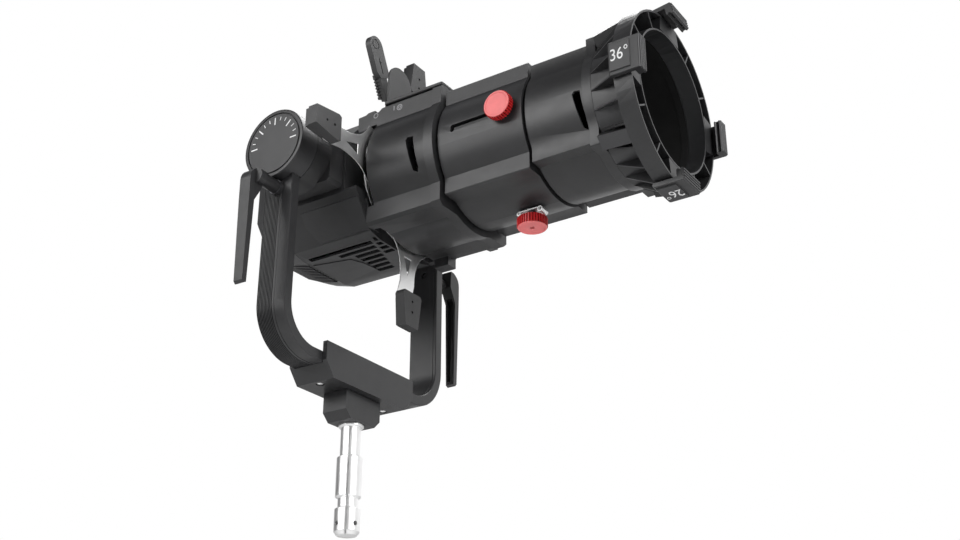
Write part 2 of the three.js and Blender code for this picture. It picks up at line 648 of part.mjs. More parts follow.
// The four posts that carry the casing on the lamp house, cut away round the gate.
function gatePosts(outline) {
  const whole = prism("x", outline, HOUSING_FRONT + GAP, CASING_REAR + 1);
  const valley = (from, to) => prism("y", [
    dot(CASING_REAR + 10, 120), dot(CASING_REAR + 10, 75), dot(CASING_REAR + 2, 69),
    dot(65, 75.3), dot(56, 70.6), dot(HOUSING_FRONT, 70), dot(HOUSING_FRONT, 120),
  ], from, to);
  return cut(
    whole,
    box(0, 100, -44, 44, -110, 110),
    box(0, 100, -110, 110, -44, 44),
    box(SHUTTER_FIRST - 0.8, CASING_REAR - GAP, -BLADE_ROOM, BLADE_ROOM, -110, 110),
    box(SHUTTER_FIRST - 0.8, CASING_REAR - GAP, -110, 110, -BLADE_ROOM, BLADE_ROOM),
    rod("x", 80.3, 0, 100, 0, 0, ROUND),
    box(0, SHELF_FRONT + GAP, -110, 110, -110, 0),
    valley(-110, -44), valley(44, 110),
  );
}

function gateHousing() {
  const outline = barrelOutline(83, 66, 76, 98);
  const body = prism("x", outline, CASING_REAR, CASING_FRONT, circle(72, 0, 0, ROUND));
  const flange = prism("x", barrelOutline(85, 68, 78, 99.5), 153, CASING_FRONT,
    circle(72, 0, 0, ROUND));
  const gateWall = tube("x", 74, GATE_BORE + 4, CASING_REAR, CASING_REAR + 4, ROUND);
  const foot = box(75, 95, 50, 66, -87, -70);
  const goboSlot = box(GOBO_X - 0.8, 150, -50, 50, 50, 100);
  const lidSeat = box(HOUSING_FRONT, CASING_FRONT + 1, -110, 110, LID_BOTTOM - GAP, 110);
  const railNotches = [-1, 1].map((s) =>
    prism("y", [dot(70, 69), dot(CASING_REAR + 2, 69), dot(CASING_REAR + 10, 75), dot(CASING_REAR + 10, 90),
      dot(70, 90)], s < 0 ? -110 : 44, s < 0 ? -44 : 110));
  const vent = airSlot([
    dot(127.5, 6), dot(130, 9), dot(137.5, 8), dot(142, -29), dot(140, -35), dot(134.5, -32),
  ]);
  const nose = spigot(150, CASING_FRONT - 1, 180);
  return cut(join(body, gatePosts(outline), flange, gateWall, foot, nose),
    goboSlot, lidSeat, ...railNotches, vent, mirrorY(vent));
}

// The lid over the accessory slot, notched for the gobo holder.
const slotCover = () => cut(
  prism("z", roundedRectangle(82, CASING_FRONT, -66, 66, 3), LID_BOTTOM, LID_BOTTOM + 4),
  box(70, GOBO_X + GOBO_THICKNESS + 0.6, -50, 50, LID_BOTTOM - 1, LID_BOTTOM + 5),
);

// A plate with the pattern's round opening, and a round-headed tab above the lid to lift it by.
function goboHolder() {
  const frame = 47;
  const tabMiddle = -40;
  const tabHalf = 22;
  const shoulder = 116;
  const front = GOBO_X + GOBO_THICKNESS;
  const plate = tube("x", frame, 33, GOBO_X, front, 36);
  const stem = prism("x", [dot(-frame, 30), dot(-18, 40), dot(-18, 90), dot(-frame, 90)], GOBO_X, front);
  const tab = prism("x", [
    dot(tabMiddle - tabHalf, LID_BOTTOM + 4 + GAP), dot(tabMiddle + tabHalf, LID_BOTTOM + 4 + GAP),
    ...arc(tabMiddle, shoulder, tabHalf, 0, 180, 16),
  ], GOBO_X, front);
  return join(plate, stem, tab);
}

// ---------------------------------------------------------------- lens barrel
const BARREL_TOP = 66;

function lensBarrel() {
  const body = prism("x", barrelOutline(78, 62.5, BARREL_TOP, 90), BARREL_REAR, BARREL_FRONT,
    circle(73, 0, 0, ROUND));
  const low = FOCUS_KNOB_Z - FOCUS_SLOT_HALF;
  const high = FOCUS_KNOB_Z + FOCUS_SLOT_HALF;
  const slot = prism("y", roundedRectangle(
    FOCUS_SLOT_REAR, FOCUS_KNOB_X + 2.8, low, high, FOCUS_SLOT_HALF - 0.1, 3,
  ), -80, -70);
  const hook = prism("y", roundedRectangle(
    FOCUS_SLOT_REAR, FOCUS_SLOT_REAR + 2 * FOCUS_SLOT_HALF, low - 4.5, high, FOCUS_SLOT_HALF - 0.1, 3,
  ), -80, -70);
  const lockHole = rod("z", 4.4, -80, -70, LOCK_KNOB_X, 0, 16);
  const nose = spigot(262, BARREL_FRONT - 1, 292);
  return join(cut(body, slot, hook, lockHole), nose);
}

const stopPin = () => rod("z", 2, BARREL_TOP + GAP, BARREL_TOP + 6, 206, -46, 10);

// ---------------------------------------------------------------- focus carrier
function lensCarrier() {
  const sleeve = tube("x", 68.8, 66, 204, 300, 32);
  const foot = rod("y", 5.5, -69.4, -66.5, FOCUS_KNOB_X, FOCUS_KNOB_Z, 16);
  return cut(join(sleeve, foot), rod("y", 2.2, -75, -60, FOCUS_KNOB_X, FOCUS_KNOB_Z, 12));
}

function focusKnob() {
  const outer = -91.5;
  const inner = -81;
  const grip = turned("y", [
    [0, outer], [15.4, outer], [16.4, outer + 1], [16.4, inner - 1], [15, inner], [0, inner],
  ], 36);
  const stem = rod("y", 1.8, inner - 1, -66, 0, 0, 12);
  return join(grip, stem).translate(FOCUS_KNOB_X, 0, FOCUS_KNOB_Z);
}

// ---------------------------------------------------------------- front tube lock
const LOCK_KNOB_X = 241;

function lockKnob() {
  const grip = turned("z", [[0, -101], [16, -101], [17, -100], [17, -89.5], [15, -88.5], [0, -88.5]], 36);
  const stem = rod("z", 4, -89, -70, 0, 0, 12);
  const socket = rod("z", 2.6, -102, -97, 0, 0, 6);
  return cut(join(grip, stem), socket).translate(LOCK_KNOB_X, 0, 0);
}

// A spring strap under the knob with a rolled end on each side.
function lockClip() {
  const top = -79.9;
  const reach = 13.5;
  const strap = box(LOCK_KNOB_X - reach, LOCK_KNOB_X + reach, -6, 6, top - 1.3, top);
  const roll = (x, r) => prism("y", circle(r, x, top - r, 16), -6.5, 6.5, circle(r - 1.2, x, top - r, 16));
  return cut(
    join(strap, roll(LOCK_KNOB_X - reach, 2.5), roll(LOCK_KNOB_X + reach, 3.2)),
    rod("z", 4.6, -90, -70, LOCK_KNOB_X, 0, 16),
  );
}

// ---------------------------------------------------------------- front tube
function frontTube() {
  const body = prism("x", barrelOutline(76, 62, 60, 86), TUBE_REAR, COLLAR_REAR + 1,
    circle(73, 0, 0, ROUND));
  const collar = prism("x", barrelOutline(80, 66, 66, 92.5), COLLAR_REAR, COLLAR_FRONT,
    circle(70.6, 0, 0, ROUND));
  const vent = airSlot([
    dot(336.5, -4), dot(339, -1), dot(345.5, -2), dot(348.8, -36), dot(347.5, -43), dot(343, -40),
  ]);
  return cut(join(body, collar), vent, mirrorY(vent));
}

const lensRetainer = () => tube("x", 70.2, 66, 358.8, COLLAR_FRONT, 32);

// Stepped black light trap between the front lens and the accessory ring.
function frontBaffle() {
  const outer = RING_BORE - 0.6;
  const first = COLLAR_FRONT + GAP;
  const pitch = 9;
  const steps = [0, 1, 2, 3].flatMap((k) => {
    const r = 66 + 2.8 * k;
    return [[r, first + k * pitch], [r, first + k * pitch + 2], [r + 2.8, first + (k + 1) * pitch]];
  });
  steps[steps.length - 1] = [outer, first + 4 * pitch];
  return turned("x", [[outer, first], ...steps, [outer, first]].reverse(), 32);
}

// ---------------------------------------------------------------- accessory ring
const SPOKE_ANGLES = [30, 60, 120, 150, 210, 240, 300, 330];
const CLIP_HALF_WIDTH = 19.5;
const CLIP_PIVOT_X = 397; // the top clip hinges here

function accessoryRing() {
  const start = COLLAR_FRONT + GAP;
  const pieces = [
    tube("x", RING_RADIUS, RING_RADIUS - 2.2, BAND_REAR, RING_FACE, 56),
    tube("x", RING_BORE + 2, RING_BORE, start, RING_FACE, 48),
    tube("x", RING_RADIUS - 1, RING_BORE + 1, BAND_REAR, BAND_REAR + 2, 48),
  ];
  for (const angle of SPOKE_ANGLES) {
    pieces.push(turnX(box(BAND_REAR + 1, RING_FACE - 0.6, 79.4, 99, -0.9, 0.9), angle));
  }
  const web = prism("x", [
    dot(78.6, -CLIP_HALF_WIDTH - 3), dot(97.6, -CLIP_HALF_WIDTH), dot(97.6, CLIP_HALF_WIDTH),
    dot(78.6, CLIP_HALF_WIDTH + 3), dot(81, 0),
  ], BAND_REAR + 1, RING_FACE);
  for (const angle of [0, 90, 180, 270]) pieces.push(turnX(web, angle));
  const fin = prism("y", [dot(start, 79), dot(BAND_REAR + 1, 79), dot(BAND_REAR + 1, 98.6),
    dot(BAND_REAR - 2, 98.6), dot(start, 80.6)], -0.8, 0.8);
  for (let k = 0; k < 24; k += 1) pieces.push(turnX(fin, k * 15 + 7.5));
  const rail = prism("y", [dot(start, 79), dot(BAND_REAR + 1, 79), dot(BAND_REAR + 1, 98.6),
    dot(BAND_REAR - 2, 98.6), dot(start, 93)], -8, 8);
  for (const angle of [45, 135, 225, 315]) pieces.push(turnX(rail, angle));
  const whole = join(...pieces);
  return cut(whole, rod("x", RING_BORE, start - 1, RING_FACE + 1, 0, 0, 48));
}

// An accessory-frame clip drawn at the top of the ring: a saddle with a ridged bar in front.
const CLIP_TOP = 106;
const CLIP_FRONT = 431;

function frameClip() {
  const seat = RING_RADIUS + GAP;
  const heel = (CLIP_TOP - seat) / 2;
  const inner = 92;
  const pitch = 3.2;
  const ridges = [0, 1, 2, 3].map((k) => inner + 1 + k * pitch).flatMap((z) => [
    dot(CLIP_FRONT, z), dot(CLIP_FRONT, z + 1.6),
    dot(CLIP_FRONT - 1.5, z + 2), dot(CLIP_FRONT - 1.5, z + 2.8),
  ]);
  const outline = [
    ...arc(CLIP_PIVOT_X, seat + heel, heel, 90, 270, 4),
    dot(422, seat), dot(422, inner + 1), dot(423.5, inner - 0.8), dot(425, inner + 1),
    dot(427, inner + 1), dot(428.5, inner - 0.8), ...ridges, dot(428.5, CLIP_TOP),
  ];
  return prism("y", outline, -CLIP_HALF_WIDTH, CLIP_HALF_WIDTH);
}

// The top clip stands a little open, turned up about its heel.
const TOP_CLIP_OPEN = 8;

function openClip() {
  const heelHeight = (RING_RADIUS + GAP + CLIP_TOP) / 2;
  return frameClip().translate(-CLIP_PIVOT_X, 0, -heelHeight).rotateY(degrees(-TOP_CLIP_OPEN))
    .translate(CLIP_PIVOT_X, 0, heelHeight);
}

// The same clip with a flat plate for a number on its saddle.
const numberedClip = () =>
  join(frameClip(), box(CLIP_PIVOT_X, 419.5, -15.5, 15.5, CLIP_TOP - 1, CLIP_TOP + 1.6));

// ---------------------------------------------------------------- assembly: yoke
part(spotlight, "stand_pin", standPin(), steel);
part(spotlight, "pin_block", pinBlock(), blackPaint);
part(spotlight, "yoke_bracket", yokeBracket(), blackPaint);
part(spotlight, "yoke_band", yokeBand(), blackPaint);
part(spotlight, "clamp_screw_near", clampScrew(-24), darkSteel);
part(spotlight, "clamp_screw_far", clampScrew(24), darkSteel);
for (const [name, side] of SIDES) {
  part(spotlight, `hub_cover_${name}`, forSide(hubCover(), side), blackPaint);
  part(head, `tilt_hub_${name}`, forSide(tiltHub(), side), blackPaint);
}

part(spotlight, "tilt_lever_near", lockLever(0, 129), blackPaint);
part(spotlight, "tilt_lever_far", lockLever(6, 142).rotateZ(Math.PI), blackPaint);

// ---------------------------------------------------------------- assembly: lamp house
part(head, "lamp_housing", lampHousing(), blackPaint);
part(head, "rear_cover", rearCover(), blackPaint);
part(head, "fan_frame", fanFrame(), blackPlastic);
part(head, "fan_rotor", fanRotor(), blackPlastic);
part(head, "heat_sink", heatSink(), aluminium);
part(head, "led_board", ledBoard(), aluminium);
part(head, "led_emitter", ledEmitter(), phosphor);
part(head, "condenser_cell", condenserCell(), matteBlack);
part(head, "condenser_lens_rear", lens(41.7, -4, -1, 0, 12), lensGlass);
part(head, "condenser_lens_front", lens(41.7, 26, 29, 9, 4), lensGlass);
part(head, "driver_board", driverBoard(), circuitGreen);
part(head, "display_window", displayWindow(), screenGlass);
part(head, "menu_knob", menuKnob(), blackPlastic);
BUTTON_Y.forEach((y, i) => part(head, `menu_button_${i + 1}`, menuButton(y), blackPlastic));
part(head, "power_inlet", powerInlet(), darkSteel);

// ---------------------------------------------------------------- assembly: gate
part(head, "iris_lever", irisLever(), blackPlastic);
part(head, "gobo_holder", goboHolder(), blackPaint);
part(head, "gate_ring_rear", gateRing(59.6, 62, 72), steel);
part(head, "gate_ring_front", gateRing(71.6, 72.5, 79), matteBlack);
for (const { name, turn, plane, aside, push, flare, neck } of SHUTTERS) {
  const x = SHUTTER_FIRST + plane * SHUTTER_PITCH;
  const blade = turnX(shutterBlade(x, flare, neck).translate(0, aside, -push), turn);
  const handle = turnX(shutterHandle(x).translate(0, aside, -push), turn);
  part(head, `shutter_blade_${name}`, blade, steel);
  part(head, `shutter_handle_${name}`, handle, blackPlastic);
}

// ---------------------------------------------------------------- assembly: barrel
part(head, "gate_housing", gateHousing(), blackPaint);
part(head, "slot_cover", slotCover(), blackPaint);
part(head, "lens_barrel", lensBarrel(), blackPaint);
part(head, "stop_pin", stopPin(), darkSteel);
part(head, "lens_carrier", lensCarrier(), matteBlack);
part(head, "focus_lens_rear", lens(65.6, 212, 216, 0, 14), lensGlass);
part(head, "focus_lens_front", lens(65.6, 262, 266, 14, 0), lensGlass);
part(head, "focus_knob", focusKnob(), redKnob);
part(head, "lock_knob", lockKnob(), redKnob);
part(head, "lock_clip", lockClip(), steel);
part(head, "front_tube", frontTube(), blackPaint);
part(head, "front_lens", lens(70, 351, 357.8, 4, 7), lensGlass);
part(head, "lens_retainer", lensRetainer(), matteBlack);
part(head, "front_baffle", frontBaffle(), matteBlack);
part(head, "accessory_ring", accessoryRing(), blackPaint);
const CLIPS = [
  ["near", 90, numberedClip], ["top", 0, openClip], ["far", -90, frameClip], ["bottom", 180, numberedClip],
];
for (const [name, angle, shape] of CLIPS) {
  part(head, `frame_clip_${name}`, turnX(shape(), angle), blackPaint);
}

export default spotlight;
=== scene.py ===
"""Looks for the ellipsoidal spotlight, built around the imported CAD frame.

Metres, +Z up, +X along the beam, -Y the side with the focus knob.
"""
import json
import math

import bmesh
import bpy
from mathutils import Matrix, Vector


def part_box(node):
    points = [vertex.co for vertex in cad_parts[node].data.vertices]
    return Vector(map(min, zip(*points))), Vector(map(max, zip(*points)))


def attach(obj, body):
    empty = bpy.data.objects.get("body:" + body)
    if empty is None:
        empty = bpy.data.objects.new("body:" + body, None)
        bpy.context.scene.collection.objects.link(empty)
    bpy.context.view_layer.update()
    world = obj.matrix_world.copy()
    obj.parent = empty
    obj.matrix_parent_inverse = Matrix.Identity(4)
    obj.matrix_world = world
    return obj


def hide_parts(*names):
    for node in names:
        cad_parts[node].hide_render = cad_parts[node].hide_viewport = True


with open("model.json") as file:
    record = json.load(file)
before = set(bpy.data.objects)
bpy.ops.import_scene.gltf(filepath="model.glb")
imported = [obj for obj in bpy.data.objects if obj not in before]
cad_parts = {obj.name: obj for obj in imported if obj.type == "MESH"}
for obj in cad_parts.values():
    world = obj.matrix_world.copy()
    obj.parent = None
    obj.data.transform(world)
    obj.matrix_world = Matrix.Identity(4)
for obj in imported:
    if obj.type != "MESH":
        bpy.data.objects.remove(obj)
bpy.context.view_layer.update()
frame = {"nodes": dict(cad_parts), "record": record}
scene = bpy.context.scene

# ---------------------------------------------------------------- places taken from the CAD frame
MM = 0.001
GAP = 0.3  # between touching pieces, in millimetres
BODY_OF = {n: b for b, ns in frame["record"]["behaviour"]["bodies"].items() for n in ns}


def mid(node):
    """The centre of a CAD node's box."""
    low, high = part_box(node)
    return (low + high) / 2


AXIS_Z = mid("front_lens").z  # height of the optical axis
HUB_Z = mid("hub_cover_near").z  # height of the tilt axis
HUB_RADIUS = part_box("hub_cover_near")[1].x
BAND_LOW, BAND_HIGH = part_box("yoke_band")
LEVER_CROWN = 0.011  # from the lock bolt up to the top of the near lever
BOLT_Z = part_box("tilt_lever_near")[1].z - LEVER_CROWN

# ---------------------------------------------------------------- camera, lights, floor
CAMERA_AT = (0.88474, -1.08262, -0.32664)
CAMERA_AZIMUTH = 33.33
CAMERA_RISE = 24.83  # the camera looks up at the light
LENS = 48.58
BACKDROP = 1.0  # the white seen behind the light
FILL = 0.07  # strength of the soft fill on the near side; it rises to BACKDROP on the far side
FLOOR_HEIGHT = -0.62  # below the camera, which looks up at the light
FLOOR_SIZE = 14


def add_camera():
    data = bpy.data.cameras.new("camera")
    data.lens = LENS
    data.sensor_width = 36
    data.clip_end = 50
    camera = bpy.data.objects.new("camera", data)
    scene.collection.objects.link(camera)
    camera.location = CAMERA_AT
    camera.rotation_euler = (math.radians(90 + CAMERA_RISE), 0, math.radians(CAMERA_AZIMUTH))
    scene.camera = camera


def add_area(name, place, target, size, power):
    data = bpy.data.lights.new(name, "AREA")
    data.shape = "RECTANGLE"
    data.size, data.size_y = size
    data.energy = power
    lamp = bpy.data.objects.new(name, data)
    scene.collection.objects.link(lamp)
    lamp.location = place
    aim = Vector(target) - Vector(place)
    lamp.rotation_euler = aim.to_track_quat("-Z", "Y").to_euler()


def add_world():
    """White to the camera, and a soft fill that is brighter on the far side than on the near side."""
    world = bpy.data.worlds.new("studio")
    world.use_nodes = True
    tree = world.node_tree
    background = tree.nodes["Background"]
    place = tree.nodes.new("ShaderNodeTexCoord")
    split = tree.nodes.new("ShaderNodeSeparateXYZ")
    tree.links.new(place.outputs["Generated"], split.inputs["Vector"])
    behind = tree.nodes.new("ShaderNodeMapRange")
    for socket, value in (("From Min", -0.1), ("From Max", 0.8), ("To Min", FILL), ("To Max", BACKDROP)):
        behind.inputs[socket].default_value = value
    tree.links.new(split.outputs["Y"], behind.inputs["Value"])
    path = tree.nodes.new("ShaderNodeLightPath")
    seen = tree.nodes.new("ShaderNodeMix")
    seen.inputs["B"].default_value = BACKDROP
    tree.links.new(path.outputs["Is Camera Ray"], seen.inputs["Factor"])
    tree.links.new(behind.outputs["Result"], seen.inputs["A"])
    tree.links.new(seen.outputs["Result"], background.inputs["Strength"])
    background.inputs["Color"].default_value = (1, 1, 1, 1)
    scene.world = world


def add_floor():
    bpy.ops.mesh.primitive_plane_add(size=FLOOR_SIZE, location=(0, 0, FLOOR_HEIGHT))
    floor = bpy.context.object
    floor.name = "floor"
    pale = bpy.data.materials.new("floor_pale")
    pale.use_nodes = True
    shader = pale.node_tree.nodes["Principled BSDF"]
    shader.inputs["Base Color"].default_value = (0.8, 0.8, 0.8, 1)
    shader.inputs["Roughness"].default_value = 0.9
    floor.data.materials.append(pale)


def add_lights():
    target = (0.1, 0, 0.36)
    add_area("key_front", (1.9, -0.3, 1.1), target, (1.2, 1.6), 34)
    add_area("key_side", (-0.5, -1.9, 1.0), target, (1.8, 1.2), 34)
    add_area("rim_top", (0.2, 0.9, 1.9), target, (1.6, 0.6), 16)


scene.view_settings.view_transform = "Standard"
add_camera()
add_world()
add_floor()
add_lights()

# ---------------------------------------------------------------- materials
BLACK = (0.018, 0.018, 0.019)


class Nodes:
    """A short way to wire shader nodes."""

    def __init__(self, name):
        self.material = bpy.data.materials.new(name)
        self.material.use_nodes = True
        self.tree = self.material.node_tree
        self.shader = self.tree.nodes["Principled BSDF"]
        self.place = self.add("ShaderNodeTexCoord").outputs["Object"]

    def add(self, kind, **values):
        node = self.tree.nodes.new(kind)
        for key, value in values.items():
            setattr(node, key, value)
        return node

    def link(self, out, socket):
        self.tree.links.new(out, socket)

    def noise(self, scale, detail=4.0, stretch=(1, 1, 1)):
        vector = self.place
        if stretch != (1, 1, 1):
            mapping = self.add("ShaderNodeMapping")
            mapping.inputs["Scale"].default_value = stretch
            self.link(self.place, mapping.inputs["Vector"])
            vector = mapping.outputs["Vector"]
        noise = self.add("ShaderNodeTexNoise")
        noise.inputs["Scale"].default_value = scale
        noise.inputs["Detail"].default_value = detail
        self.link(vector, noise.inputs["Vector"])
        return noise.outputs["Fac"]

    def span(self, out, low, high, start=0.3, end=0.7):
        node = self.add("ShaderNodeMapRange")
        node.inputs["From Min"].default_value = start
        node.inputs["From Max"].default_value = end
        node.inputs["To Min"].default_value = low
        node.inputs["To Max"].default_value = high
        self.link(out, node.inputs["Value"])
        return node.outputs["Result"]

    def blend(self, factor, first, second):
        node = self.add("ShaderNodeMix", data_type="RGBA")
        self.link(factor, node.inputs["Factor"])
        for socket, value in ((node.inputs["A"], first), (node.inputs["B"], second)):
            if isinstance(value, tuple):
                socket.default_value = (*value, 1)
            else:
                self.link(value, socket)
        return node.outputs["Result"]

    def edges(self, strength):
        """0 on flat surfaces, rising to strength on rounded outside edges."""
        geometry = self.add("ShaderNodeNewGeometry")
        return self.span(geometry.outputs["Pointiness"], 0, strength, 0.52, 0.62)

    def bump(self, out, depth, strength=1.0):
        node = self.add("ShaderNodeBump")
        node.inputs["Distance"].default_value = depth
        node.inputs["Strength"].default_value = strength
        self.link(out, node.inputs["Height"])
        self.link(node.outputs["Normal"], self.shader.inputs["Normal"])


def shade(color, factor):
    return tuple(min(1.0, c * factor) for c in color)


def coated(name, color, roughness, grain=1400, depth=0.00006, edge_wear_and_highlight=0.5, spread=0.03, specular=0.5):
    """Paint or moulded plastic: fine grain, patchy roughness, and outside edges lightened, partly as wear
    and partly as a painted highlight.
    """
    n = Nodes(name)
    patches = n.span(n.noise(38, 3), 0, 1)
    base = n.blend(patches, shade(color, 0.88), shade(color, 1.14))
    # Rounded outside edges are lightened to 3.2 times the colour: partly wear, partly a painted highlight
    # along every edge.
    worn_and_highlit = n.blend(n.edges(edge_wear_and_highlight), base, shade(color, 3.2))
    n.link(worn_and_highlit, n.shader.inputs["Base Color"])
    n.link(n.span(n.noise(90, 5), roughness - spread, roughness + spread), n.shader.inputs["Roughness"])
    n.bump(n.noise(grain, 2), depth)
    n.shader.inputs["Specular IOR Level"].default_value = specular
    return n.material


def metal(name, color, roughness, stretch=(60, 60, 900), depth=0.00001):
    """Machined or brushed metal, with fine tool marks along one direction."""
    n = Nodes(name)
    marks = n.noise(1.0, 6, stretch)
    base = n.blend(n.span(n.noise(25, 3), 0, 1), shade(color, 0.93), shade(color, 1.04))
    n.link(base, n.shader.inputs["Base Color"])
    n.shader.inputs["Metallic"].default_value = 1.0
    n.link(n.span(marks, roughness * 0.85, roughness * 1.15), n.shader.inputs["Roughness"])
    if depth:
        n.bump(marks, depth)
    return n.material


def glass(name, tint_and_reflection_colour, clearness):
    # Only the clearness share lets light through; the rest is a pale opaque surface in the base colour: a
    # painted reflection.
    n = Nodes(name)
    n.shader.inputs["Base Color"].default_value = (*tint_and_reflection_colour, 1)
    n.shader.inputs["Transmission Weight"].default_value = clearness
    n.shader.inputs["IOR"].default_value = 1.5
    n.link(n.span(n.noise(60, 3), 0.01, 0.05), n.shader.inputs["Roughness"])
    return n.material


PAINT = coated("black_paint", BLACK, 0.40)
PLASTIC = coated("black_plastic", (0.026, 0.026, 0.027), 0.48, grain=700, depth=0.00008, edge_wear_and_highlight=0.2)
FLAT_BLACK = coated("flat_black", (0.004, 0.004, 0.004), 0.85, edge_wear_and_highlight=0.05, specular=0.15)
RED = coated("red_plastic", (0.80, 0.17, 0.17), 0.42, grain=500, depth=0.00004, edge_wear_and_highlight=0.1)
# A darker copy of the red plastic for the knobs' ribbed sides: painted shade.
RED_SHADED_SIDES = coated("red_plastic_painted_shade_sides", (0.42, 0.012, 0.014), 0.4, grain=500, depth=0.00004, edge_wear_and_highlight=0.3)
WHITE_PRINT = coated("white_print", (0.80, 0.80, 0.80), 0.6, edge_wear_and_highlight=0.0)
GREY_PRINT = coated("grey_print", (0.30, 0.30, 0.31), 0.6, edge_wear_and_highlight=0.0)
BOARD = coated("circuit_board", (0.02, 0.11, 0.05), 0.5)
PHOSPHOR = coated("phosphor", (0.80, 0.65, 0.10), 0.35)
STEEL = metal("polished_steel", (0.95, 0.95, 0.95), 0.40, stretch=(3, 3, 1500), depth=0.0000002)
DARK_STEEL = metal("dark_steel", (0.13, 0.13, 0.14), 0.35)
BLADE_STEEL = metal("blade_steel", (0.88, 0.88, 0.88), 0.34, stretch=(30, 30, 30), depth=0.0)
ALUMINIUM = metal("aluminium", (0.60, 0.61, 0.62), 0.35)
# The glass is only 0.6 clear with a pale base, as a painted reflection of the studio.
GLASS_WITH_PAINTED_REFLECTION = glass("lens_glass_painted_reflection", (0.90, 0.93, 0.94), 0.6)
DISPLAY = coated("display_glass", (0.01, 0.012, 0.015), 0.12, depth=0.0, edge_wear_and_highlight=0.0)


# ---------------------------------------------------------------- mesh helpers
AXES = {
    "x": lambda u, v, w: Vector((w, u, v)),
    "y": lambda u, v, w: Vector((u, w, v)),
    "z": lambda u, v, w: Vector((u, v, w)),
}


def mesh_of(name, corners, faces):
    """A mesh with doubled corners merged and its faces turned outwards."""
    mesh = bpy.data.meshes.new(name)
    mesh.from_pydata([tuple(c) for c in corners], [], faces)
    bm = bmesh.new()
    bm.from_mesh(mesh)
    bmesh.ops.remove_doubles(bm, verts=bm.verts, dist=1e-7)
    bmesh.ops.recalc_face_normals(bm, faces=bm.faces)
    bm.to_mesh(mesh)
    bm.free()
    return mesh


def prism(name, axis, outline, low, high):
    """An outline in millimetres, extruded along an axis."""
    count = len(outline)
    corners = [AXES[axis](u * MM, v * MM, w * MM) for w in (low, high) for u, v in outline]
    sides = [(i, (i + 1) % count, count + (i + 1) % count, count + i) for i in range(count)]
    caps = [tuple(range(count)), tuple(range(count, 2 * count))]
    return mesh_of(name, corners, sides + caps)


def block(name, low, high):
    """A box between two corners, in millimetres."""
    (x0, y0, z0), (x1, y1, z1) = low, high
    return prism(name, "z", [(x0, y0), (x1, y0), (x1, y1), (x0, y1)], z0, z1)


def lathe(name, axis, centre, profile, sides=128, ripple=None, closed=True):
    """A profile of (radius, place, rippled?) points in millimetres, turned about an axis through centre."""
    corners = []
    for step in range(sides):
        angle = 2 * math.pi * step / sides
        for radius, place, *rippled in profile:
            r = radius - (ripple(step) if ripple and rippled else 0)
            u, v = r * math.cos(angle) * MM, r * math.sin(angle) * MM
            corners.append(Vector(centre) + AXES[axis](u, v, place * MM))
    count = len(profile)
    rows = count if closed else count - 1
    faces = []
    for step in range(sides):
        for i in range(rows):
            a, b = step * count, ((step + 1) % sides) * count
            j = (i + 1) % count
            faces.append((a + i, a + j, b + j, b + i))
    return mesh_of(name, corners, faces)


def carve(mesh, cutters, operation="DIFFERENCE"):
    """The mesh with every cutter taken away, or kept to with INTERSECT."""
    body = bpy.data.objects.new("carved_body", mesh)
    scene.collection.objects.link(body)
    tools = []
    for cutter in cutters:
        tool = bpy.data.objects.new("carving_tool", cutter)
        scene.collection.objects.link(tool)
        step = body.modifiers.new("carve", "BOOLEAN")
        step.object = tool
        step.operation = operation
        step.solver = "EXACT"
        tools.append(tool)
    graph = bpy.context.evaluated_depsgraph_get()
    carved = bpy.data.meshes.new_from_object(body.evaluated_get(graph))
    for helper in [body, *tools]:
        bpy.data.objects.remove(helper)
    return carved


def rod(name, axis, radius, low, high, u=0.0, v=0.0, sides=32):
    """A round bar in millimetres."""
    turn = 2 * math.pi / sides
    outline = [(u + radius * math.cos(turn * i), v + radius * math.sin(turn * i)) for i in range(sides)]
    return prism(name, axis, outline, low, high)


def half_circle(radius, height, steps):
    """The upper half of a circle at a height, from its right end to its left end."""
    turns = [math.pi * i / steps for i in range(steps + 1)]
    return [(radius * math.cos(turn), height + radius * math.sin(turn)) for turn in turns]


# ---------------------------------------------------------------- pieces
def finish_mesh(piece, bevel, segments):
    """Rounds the sharp edges and evens the shading."""
    if bevel:
        rounded = piece.modifiers.new("edges", "BEVEL")
        rounded.width = bevel
        rounded.segments = segments
        rounded.limit_method = "ANGLE"
        rounded.angle_limit = math.radians(32)
        rounded.use_clamp_overlap = True
    normals = piece.modifiers.new("normals", "WEIGHTED_NORMAL")
    normals.keep_sharp = True


def new_piece(name, mesh, body, material, replaces=(), bevel=0.0, segments=2, sharp=32):
    """An object in the row frame that rides on a CAD body."""
    piece = bpy.data.objects.new(name, mesh)
    scene.collection.objects.link(piece)
    mesh.materials.clear()
    mesh.materials.append(material)
    mesh.polygons.foreach_set("use_smooth", [True] * len(mesh.polygons))
    mesh.set_sharp_from_angle(angle=math.radians(sharp))
    finish_mesh(piece, bevel, segments)
    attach(piece, body)
    if replaces:
        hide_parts(*replaces)
    return piece


def refined(node, material, bevel=0.0009, segments=2, merge=True):
    """The CAD node's own shape with its flat faces whole again and its edges rounded."""
    bm = bmesh.new()
    bm.from_mesh(frame["nodes"][node].data)
    bmesh.ops.remove_doubles(bm, verts=bm.verts, dist=1e-6)
    if merge:
        bmesh.ops.dissolve_limit(bm, angle_limit=math.radians(0.6), verts=bm.verts, edges=bm.edges)
    mesh = bpy.data.meshes.new(f"{node}_look")
    bm.to_mesh(mesh)
    bm.free()
    return new_piece(f"{node}_look", mesh, BODY_OF[node], material, (node,), bevel, segments)


